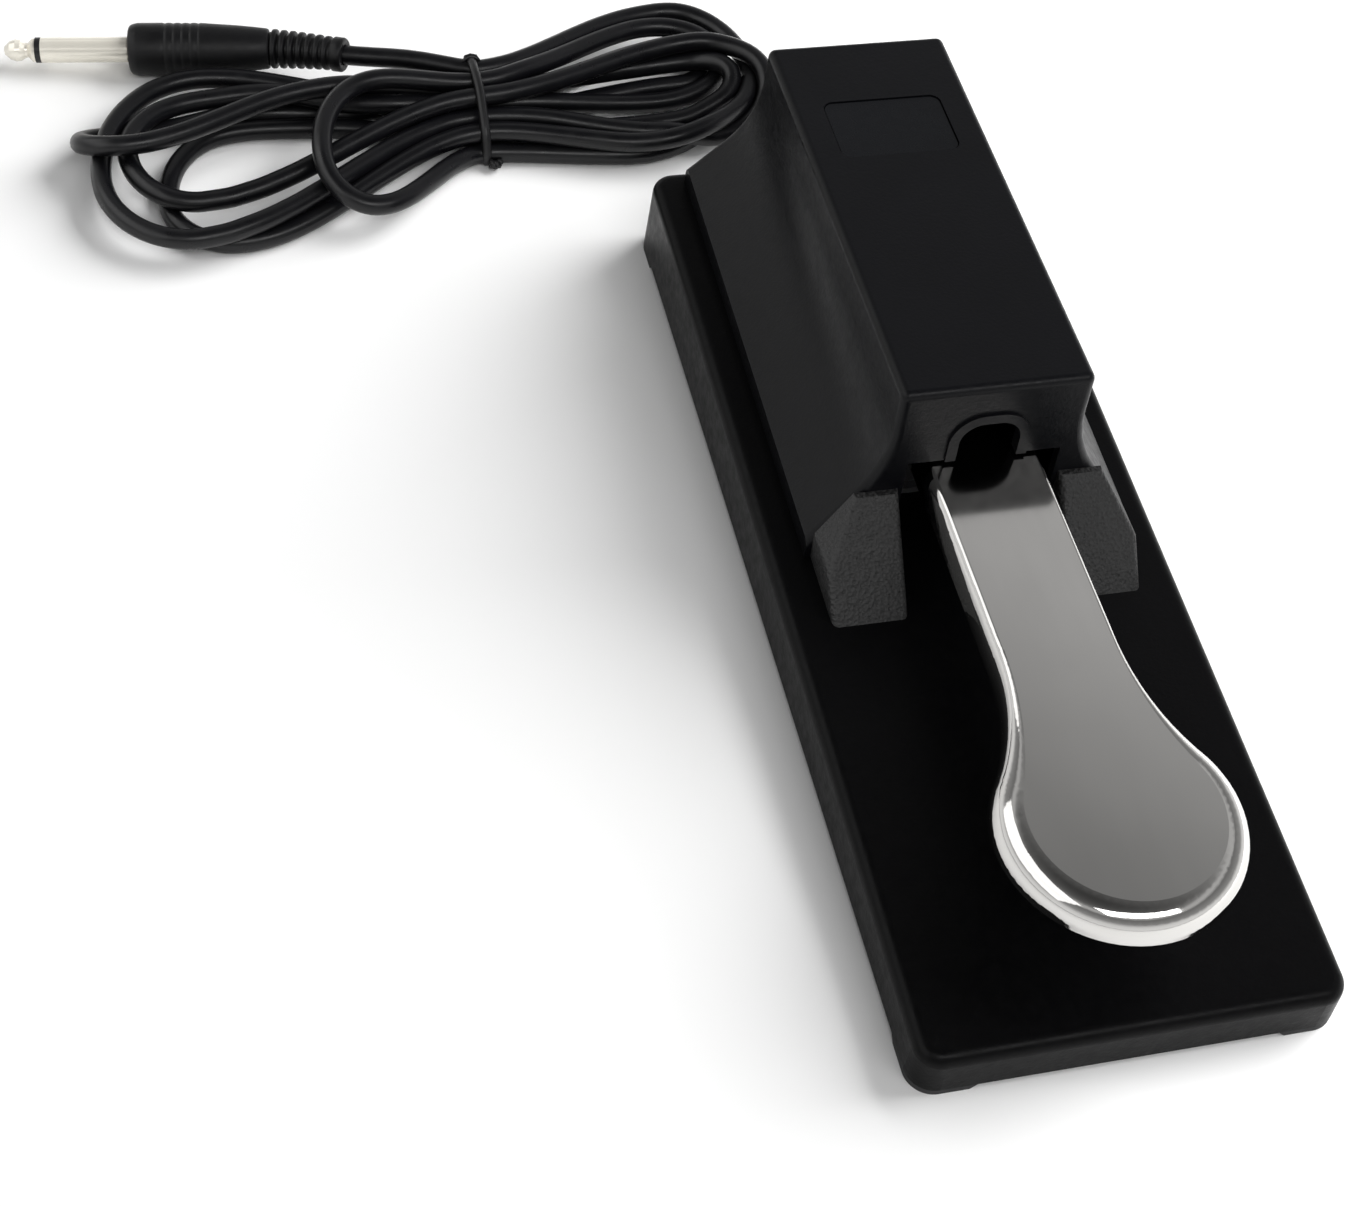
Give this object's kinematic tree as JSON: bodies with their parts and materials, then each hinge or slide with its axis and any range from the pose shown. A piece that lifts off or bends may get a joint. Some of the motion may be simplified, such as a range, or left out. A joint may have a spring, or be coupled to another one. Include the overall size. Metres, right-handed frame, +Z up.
{
  "type": "sustain pedal",
  "caption": "Piano-style sustain foot pedal: a sprung, hinged chrome pedal in a black housing on a wedge-shaped base, with a switch, tied-up cord and jack plug.",
  "frame": {"origin": "under the middle of the base, on the surface the feet stand on", "axes": "+X to the right of the player, +Y towards the rear where the cord leaves, +Z up; the pedal's round end points to -Y"},
  "size_m": [0.2377, 0.3229, 0.0618],
  "materials": {
    "base_plastic": "satin black, fine texture",
    "housing_plastic": "satin black, fine texture",
    "guide_plastic": "grained black",
    "label_plastic": "smooth satin black",
    "pedal_chrome": "polished chrome plate",
    "plate_steel": "black painted steel",
    "zinc_steel": "zinc plated",
    "screw_steel": "zinc plated",
    "spring_steel": "bright spring steel",
    "nylon": "natural nylon",
    "foot_rubber": "matt black rubber",
    "stop_rubber": "matt black rubber",
    "felt": "grey felt",
    "switch_plastic": "black phenolic",
    "button_plastic": "red plastic",
    "brass": "bright",
    "wire_white": "white insulation",
    "wire_black": "black insulation",
    "cord_rubber": "matt black PVC",
    "relief_rubber": "matt black PVC",
    "tie_plastic": "black coated wire tie",
    "plug_nickel": "nickel plated",
    "plug_ring": "black insulator",
    "plug_grip": "moulded black PVC"
  },
  "bodies": {
    "base": {"base_shell": "base_plastic", "base_plate": "plate_steel", "foot_front_left": "foot_rubber", "foot_rear_left": "foot_rubber", "foot_front_right": "foot_rubber", "foot_rear_right": "foot_rubber", "housing_shell": "housing_plastic", "label_plate": "label_plastic", "guide_block_left": "guide_plastic", "guide_block_right": "guide_plastic", "chassis_bracket": "zinc_steel", "pivot_bush_left": "nylon", "pivot_bush_right": "nylon", "up_stop_pad": "felt", "down_stop_pad": "stop_rubber", "spring_seat": "nylon", "return_spring": "spring_steel", "switch_bracket": "zinc_steel", "switch_body": "switch_plastic", "lever_pin": "zinc_steel", "switch_terminals": "brass", "wire_signal": "wire_white", "wire_ground": "wire_black", "cord_inner": "cord_rubber", "cord_clamp": "nylon", "clamp_screws": "screw_steel", "strain_relief": "relief_rubber", "cord_tube": "cord_rubber", "cord_hank": "cord_rubber", "cord_tie": "tie_plastic", "plug_tip": "plug_nickel", "plug_insulator": "plug_ring", "plug_sleeve": "plug_nickel", "plug_barrel": "plug_grip", "plug_boot": "plug_grip", "base_screws": "screw_steel", "housing_screws": "screw_steel", "guide_screws": "screw_steel", "chassis_screws": "screw_steel", "chassis_nuts": "screw_steel"},
    "pedal": {"pedal_plate": "pedal_chrome", "pivot_pin": "zinc_steel", "pin_clips": "spring_steel"},
    "lever": {"switch_lever": "spring_steel"},
    "button": {"switch_button": "button_plastic"}
  },
  "joints": [
    {"name": "pedal_hinge", "type": "hinge", "parent": "base", "child": "pedal", "pos_m": [0, 0.092, 0.036], "axis": [1, 0, 0], "range_deg": [0, 4.5], "stiffness_Nm_per_rad": 12.7, "springref_deg": -5.39, "deforming": ["return_spring"]},
    {"name": "switch_lever_hinge", "type": "hinge", "parent": "base", "child": "lever", "pos_m": [0, 0.073, 0.0349], "axis": [1, 0, 0], "range_deg": [0, 10.2]},
    {"name": "switch_button_slide", "type": "slide", "parent": "base", "child": "button", "axis": [0, 0, -1], "range_m": [0, 0.0015]}
  ],
  "couplings": [
    {"joint": "switch_lever_hinge", "follows": "pedal_hinge", "ratio": 2.22},
    {"joint": "switch_button_slide", "follows": "pedal_hinge", "m_per_rad": 0.0176}
  ]
}
